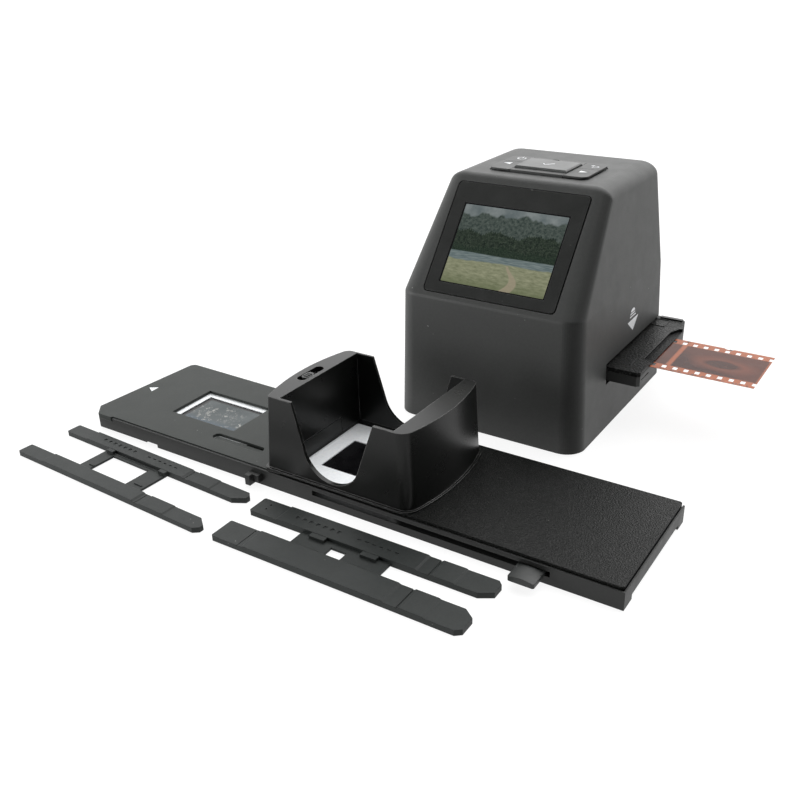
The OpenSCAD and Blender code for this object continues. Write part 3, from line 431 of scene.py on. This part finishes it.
def lcd_picture_mat():
    """A plain hill and lake landscape: misty sky, wooded slopes, water, meadow with a path."""
    m = Mat("lcd_landscape")
    uv = m.node("ShaderNodeTexCoord").outputs["UV"]
    sep = m.node("ShaderNodeSeparateXYZ")
    m.link(uv, sep.inputs[0])
    u, v = sep.outputs[0], sep.outputs[1]
    asp = m.node("ShaderNodeMapping")
    asp.inputs["Scale"].default_value = (1.333, 1, 1)
    m.link(uv, asp.inputs["Vector"])
    p = asp.outputs[0]

    def line(scale, detail, seed, base, amp):
        n = m.noise(scale, detail, 0.55, dim="1D", w=m.math("ADD", u, seed))
        return m.math("ADD", base, m.math("MULTIPLY", m.math("SUBTRACT", n, 0.5), amp))

    def trees(count, seed, height):
        """Pointed crowns: a row of cones of uneven height."""
        s = m.math("ADD", m.math("MULTIPLY", u, count), seed)
        cell = m.math("FLOOR", s)
        wn = m.node("ShaderNodeTexWhiteNoise", noise_dimensions="1D")
        m.link(cell, wn.inputs["W"])
        tri = m.math("SUBTRACT", 1.0, m.math("ABSOLUTE", m.math("MULTIPLY", m.math("SUBTRACT", m.math("FRACT", s), 0.5), 2.0)))
        return m.math("MULTIPLY", m.math("MULTIPLY", tri, m.math("ADD", m.math("MULTIPLY", wn.outputs["Value"], 0.7), 0.3)), height)

    def above(h, soft=0.006):
        return m.math("DIVIDE", m.math("ADD", m.math("SUBTRACT", v, h), soft), 2 * soft, clamp=True)

    tex = m.noise(26, 5, 0.7, vec=p)
    tex2 = m.noise(60, 4, 0.7, vec=p)
    sky = m.mix(m.ramp(m.noise(4, 4, 0.6, vec=p), 0.35, 0.7), (0.15, 0.185, 0.19), (0.34, 0.375, 0.37))
    far = m.mix(m.ramp(tex, 0.35, 0.68), (0.028, 0.046, 0.040), (0.135, 0.165, 0.145))
    wood = m.mix(m.ramp(tex, 0.40, 0.66), (0.006, 0.015, 0.010), (0.050, 0.072, 0.048))
    wood = m.mix(m.ramp(tex2, 0.5, 0.7, 0.0, 0.5), wood, (0.14, 0.17, 0.13))
    wood2 = m.mix(m.ramp(tex2, 0.42, 0.62), (0.010, 0.022, 0.015), (0.045, 0.070, 0.045))
    lake = m.mix(m.ramp(m.noise(30, 3, 0.5, vec=m.vmath("MULTIPLY", p, (0.25, 3.0, 1.0))), 0.35, 0.65), (0.13, 0.18, 0.185), (0.27, 0.325, 0.32))
    grass = m.mix(m.ramp(m.noise(18, 5, 0.65, vec=m.vmath("MULTIPLY", p, (0.6, 2.0, 1.0))), 0.32, 0.68), (0.215, 0.235, 0.135), (0.420, 0.430, 0.280))
    grass = m.mix(m.ramp(v, 0.16, 0.0, 0.0, 0.6), grass, (0.12, 0.155, 0.065))

    h_far = line(2.6, 4, 3.1, 0.90, 0.34)
    h_wood = m.math("ADD", line(1.7, 3, 11.7, 0.66, 0.40), trees(46, 0.3, 0.035))
    h_wood2 = m.math("ADD", line(2.2, 3, 27.4, 0.47, 0.16), trees(30, 7.7, 0.075))
    h_lake = line(1.2, 2, 5.5, 0.405, 0.02)
    h_shore = line(2.4, 3, 41.3, 0.315, 0.10)

    c = m.mix(above(h_far, 0.012), far, sky)
    c = m.mix(above(h_wood), wood, c)
    c = m.mix(above(h_wood2), wood2, c)
    c = m.mix(above(h_lake), lake, c)
    c = m.mix(above(h_shore), grass, c)
    # a pale footpath that winds to the shore
    mid = m.math("ADD", 0.63, m.math("MULTIPLY", m.math("SINE", m.math("MULTIPLY", v, 14.0)), 0.05))
    wide = m.math("SUBTRACT", 0.055, m.math("MULTIPLY", v, 0.15))
    path = m.ramp(m.math("SUBTRACT", m.math("ABSOLUTE", m.math("SUBTRACT", u, mid)), wide), 0.006, -0.006)
    path = m.math("MULTIPLY", path, m.math("SUBTRACT", 1.0, above(m.math("SUBTRACT", h_shore, 0.012))))
    c = m.mix(m.math("MULTIPLY", path, 0.85), c, m.mix(tex2, (0.36, 0.30, 0.20), (0.52, 0.46, 0.34)))
    m.link(m.mix(0.06, (0.0, 0.0, 0.0), c), m.b.inputs["Base Color"])
    m.link(c, m.b.inputs["Emission Color"])
    m.b.inputs["Emission Strength"].default_value = 0.60
    m.b.inputs["Coat Weight"].default_value = 0.12
    m.b.inputs["Coat Roughness"].default_value = 0.12
    m.link(m.ramp(m.noise(500, 2, 0.5), 0.3, 0.7, 0.30, 0.42), m.b.inputs["Roughness"])
    m.b.inputs["Specular IOR Level"].default_value = 0.2
    return m.m


NODE_MATERIAL = {
    "housing": SHELL, "base_plate": INNER, "foot_pads": RUBBER, "base_screws": STEEL, "bezel": BEZEL,
    "lcd_panel": lcd_glass(), "lcd_module": TIN, "lcd_retainer": INNER, "keypad_plate": SHELL_TOP,
    "key_power": SHELL_TOP, "key_left": SHELL_TOP, "key_right": SHELL_TOP, "key_back": SHELL_TOP, "key_ok": OK_TOP,
    "status_lens": DIFFUSER, "key_board": BOARD, "key_switches": TIN, "main_board": BOARD, "main_chips": CHIP,
    "io_board": BOARD, "usb_inlet": TIN, "video_jack": CHIP, "card_socket": TIN, "memory_card": CARD,
    "board_screws": STEEL, "gate_frame": INNER, "detent_plunger": STEEL, "light_board": BOARD, "light_leds": LED,
    "light_box": DIFFUSER, "diffuser": DIFFUSER, "lens_barrel": INNER, "lens_glass": OPTIC,
    "sensor_bracket": INNER, "sensor_board": BOARD, "sensor_chip": CHIP,
    "holder_base": HOLDER_IN, "holder_cover": HOLDER, "holder_latch": HOLDER_IN, "film_strip": FILM,
    "feeder_base": TRAY, "feeder_plate": PLATE, "feeder_cover": COVER, "feeder_stop": TRAY, "feeder_screws": STEEL,
    "chute": CHUTE, "chute_gate": GATE, "chute_selector": SLIDER, "pusher": SLIDER,
    "slide_a_mount": SLIDE, "slide_a_film": SLIDE_A, "slide_b_mount": SLIDE, "slide_b_film": SLIDE_B,
    "insert_wide": INSERT, "insert_narrow": INSERT,
}
for name, mat in NODE_MATERIAL.items():
    o = N[name]
    if not o.material_slots:
        o.data.materials.append(mat)
    for s in o.material_slots:
        s.material = mat


# ------------------------------------------------------------------ printed marks and the picture
def prism(name, loops, place, mat, body, low=-0.02, high=0.02):
    """Flat shapes (lists of (a, b) in mm, outlines or outline/hole pairs as quads) raised a few hundredths of a mm."""
    bm = bmesh.new()
    for loop in loops:
        lo = [bm.verts.new([c * MM for c in place(a, b, low)]) for a, b in loop]
        hi = [bm.verts.new([c * MM for c in place(a, b, high)]) for a, b in loop]
        bm.faces.new(lo[::-1])
        bm.faces.new(hi)
        for i in range(len(loop)):
            j = (i + 1) % len(loop)
            bm.faces.new((lo[i], lo[j], hi[j], hi[i]))
    bmesh.ops.recalc_face_normals(bm, faces=bm.faces)
    me = bpy.data.meshes.new(name)
    bm.to_mesh(me)
    bm.free()
    me.materials.append(mat)
    o = bpy.data.objects.new(name, me)
    scene.collection.objects.link(o)
    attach(o, body)
    return o


def arc(cx, cy, r0, r1, a0, a1, n):
    """A ring sector as quads."""
    out = []
    for i in range(n):
        t0, t1 = (math.radians(a0 + (a1 - a0) * k / n) for k in (i, i + 1))
        out.append([(cx + r0 * math.cos(t0), cy + r0 * math.sin(t0)), (cx + r1 * math.cos(t0), cy + r1 * math.sin(t0)),
                    (cx + r1 * math.cos(t1), cy + r1 * math.sin(t1)), (cx + r0 * math.cos(t1), cy + r0 * math.sin(t1))])
    return out


def bar(x0, y0, x1, y1, w):
    d = Vector((x1 - x0, y1 - y0)).normalized() * (w / 2)
    return [(x0 - d.y, y0 + d.x), (x0 + d.y, y0 - d.x), (x1 + d.y, y1 - d.x), (x1 - d.y, y1 + d.x)]


KEY_TOP = 105.1
on_keys = lambda a, b, h: (a, b, KEY_TOP + h)
prism("mark_power", arc(-17.3, 15.3, 1.65, 2.0, 118, 422, 32) + [bar(-17.3, 15.6, -17.3, 17.8, 0.36)], on_keys, INK, "key_power_body")
prism("mark_left", [[(-20.47, 4.2), (-17.07, 2.6), (-17.07, 5.8)]], on_keys, INK, "key_left_body")
prism("mark_right", [[(19.47, 2.9), (16.07, 1.4), (16.07, 4.4)]], on_keys, INK, "key_right_body")
prism("mark_back", arc(18.6, 13.6, 1.25, 1.62, -90, 90, 18) + [bar(18.6, 15.03, 17.3, 15.03, 0.37), bar(18.6, 12.17, 17.5, 12.17, 0.37)]
      + [[(16.0, 15.03), (17.5, 14.1), (17.5, 15.96)]], on_keys, INK, "key_back_body")
on_ok = lambda a, b, h: (a, b, 106.1 + h)
prism("mark_ok", [bar(-2.35, 6.0, -0.75, 4.4, 0.5), bar(-0.93, 4.35, 2.35, 7.6, 0.5)], on_ok, INK, "key_ok_body", -0.02, 0.008)

wall_x = lambda z: 44.5 - z * 2.4 / 58.8
on_wall = lambda a, b, h: (wall_x(b) + h, a, b)
# an arrow that points down to the holder slot: head, two stripes and a rounded tail
head = [(8.94, 36.0), (15.1, 41.6), (11.6, 41.6), (5.3, 41.45), (2.3, 41.3)]
stripes = [[(4.9, 42.75), (12.0, 42.75), (11.6, 43.4), (5.1, 43.4)],
           [(5.2, 44.05), (11.3, 44.05), (10.8, 44.65), (5.7, 44.65)],
           [(5.9, 45.15), (10.8, 45.15), (10.3, 46.1), (9.3, 46.6), (7.3, 46.55), (6.3, 46.0)]]
prism("mark_insert_side", [head] + stripes, on_wall, INK, "scanner")

on_plate = lambda a, b, h: (a, b, 7.6 + h)
prism("mark_tray_arrow", [[(-151.0, -103.0), (-147.1, -105.2), (-147.3, -100.7)]], on_plate, INK, "feeder")

on_film = lambda a, b, h: (a, b, 27.81 + h)
edge_marks = []
for i, (x, w) in enumerate(((60.2, 0.5), (61.4, 0.9), (62.9, 0.5), (66.0, 0.9), (67.4, 0.5), (68.4, 0.5), (69.6, 1.1), (74.2, 0.5),
                            (75.3, 0.9), (76.8, 0.5), (79.4, 1.1), (81.0, 0.5), (84.6, 0.5), (85.7, 0.9), (87.2, 0.5), (88.2, 0.5),
                            (92.1, 0.9), (93.6, 0.5), (94.6, 1.1), (98.0, 0.5))):
    h = 0.42 if i % 3 else 0.3
    edge_marks.append([(x, 10.2 - 16.6 - h), (x + w, 10.2 - 16.6 - h), (x + w, 10.2 - 16.6 + h), (x, 10.2 - 16.6 + h)])
for x in (63.0, 82.0):
    edge_marks.append([(x, 10.2 + 15.9), (x + 1.5, 10.2 + 16.55), (x, 10.2 + 17.2)])
FILM_INK = print_ink("film_ink", (0.035, 0.018, 0.014))
prism("film_edge_marks", edge_marks, on_film, FILM_INK, "film", -0.03, 0.03)

rim_z = lambda y: 40.03 - (y + 105.4) * math.tan(math.radians(0.8))
on_rim = lambda a, b, h: (a, b, rim_z(b) + h)
RIM_INK = print_ink("rim_mark", (0.012, 0.012, 0.012))
prism("mark_selector", [bar(-46.5, -112.2, -45.4, -112.0, 0.35), bar(-46.5, -110.9, -45.4, -111.1, 0.35),
                        bar(-46.1, -99.9, -45.2, -100.6, 0.35), bar(-46.1, -101.3, -45.2, -100.6, 0.35)],
      on_rim, RIM_INK, "feeder", -0.02, 0.01)

# the picture on the display, a hair in front of the panel
lean = math.radians(38.9)
zk = 58.8
y0 = -51.5 + zk * math.tan(math.radians(0.4))


def on_slope(u, v, w):
    return (u, y0 + v * math.sin(lean) - w * math.cos(lean), zk + v * math.cos(lean) + w * math.sin(lean))


def lcd_picture():
    bm = bmesh.new()
    uvl = bm.loops.layers.uv.new("UVMap")
    hw, v_lo, v_hi = 23.85, 8.1, 43.65
    corner = 0.35
    ring = []
    for cx, cy, a0 in ((hw - corner, v_hi - corner, 0), (-hw + corner, v_hi - corner, 90), (-hw + corner, v_lo + corner, 180), (hw - corner, v_lo + corner, 270)):
        for k in range(5):
            t = math.radians(a0 + k * 22.5)
            ring.append((cx + corner * math.cos(t), cy + corner * math.sin(t)))
    lo = [bm.verts.new([c * MM for c in on_slope(a, b, -0.121)]) for a, b in ring]
    hi = [bm.verts.new([c * MM for c in on_slope(a, b, -0.08)]) for a, b in ring]
    faces = [bm.faces.new(lo[::-1]), bm.faces.new(hi)]
    for i in range(len(ring)):
        j = (i + 1) % len(ring)
        faces.append(bm.faces.new((lo[i], lo[j], hi[j], hi[i])))
    bmesh.ops.recalc_face_normals(bm, faces=bm.faces)
    where = {v: ring[k % len(ring)] for k, v in enumerate(lo + hi)}
    for f in bm.faces:
        for l in f.loops:
            a, b = where[l.vert]
            l[uvl].uv = ((a + hw) / (2 * hw), (b - v_lo) / (v_hi - v_lo))
    me = bpy.data.meshes.new("lcd_picture")
    bm.to_mesh(me)
    bm.free()
    me.materials.append(lcd_picture_mat())
    o = bpy.data.objects.new("lcd_picture", me)
    scene.collection.objects.link(o)
    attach(o, "scanner")


lcd_picture()

# ------------------------------------------------------------------ floor
fm = Mat("floor_white")
fc = fm.mix(fm.ramp(fm.noise(3, 3, 0.5), 0.3, 0.7), (0.17, 0.17, 0.17), (0.19, 0.19, 0.19))
fm.link(fc, fm.b.inputs["Base Color"])
fm.b.inputs["Roughness"].default_value = 0.8
fm.b.inputs["Specular IOR Level"].default_value = 0.1
fm.b.inputs["Emission Color"].default_value = (1.0, 1.0, 1.0, 1)
fm.b.inputs["Emission Strength"].default_value = 0.88
bpy.ops.mesh.primitive_plane_add(size=16, location=(0, 0, -0.0002))
floor = bpy.context.object
floor.name = "floor"
floor.data.materials.append(fm.m)

# a plain white dome behind everything; it takes no part in the lighting
dm = Mat("backdrop_white")
dc = dm.mix(dm.ramp(dm.noise(1.5, 2, 0.5), 0.3, 0.7), (0.995, 0.995, 0.995), (1.0, 1.0, 1.0))
dm.link(dc, dm.b.inputs["Emission Color"])
dm.b.inputs["Base Color"].default_value = (0.0, 0.0, 0.0, 1)
dm.b.inputs["Specular IOR Level"].default_value = 0.0
dm.b.inputs["Emission Strength"].default_value = 1.05
bpy.ops.mesh.primitive_uv_sphere_add(segments=96, ring_count=48, radius=7.0, location=(0, 0, 0))
dome = bpy.context.object
dome.name = "backdrop"
dome.data.materials.append(dm.m)
dome.visible_diffuse = False
dome.visible_glossy = False
dome.visible_transmission = False
dome.visible_volume_scatter = False
dome.visible_shadow = False
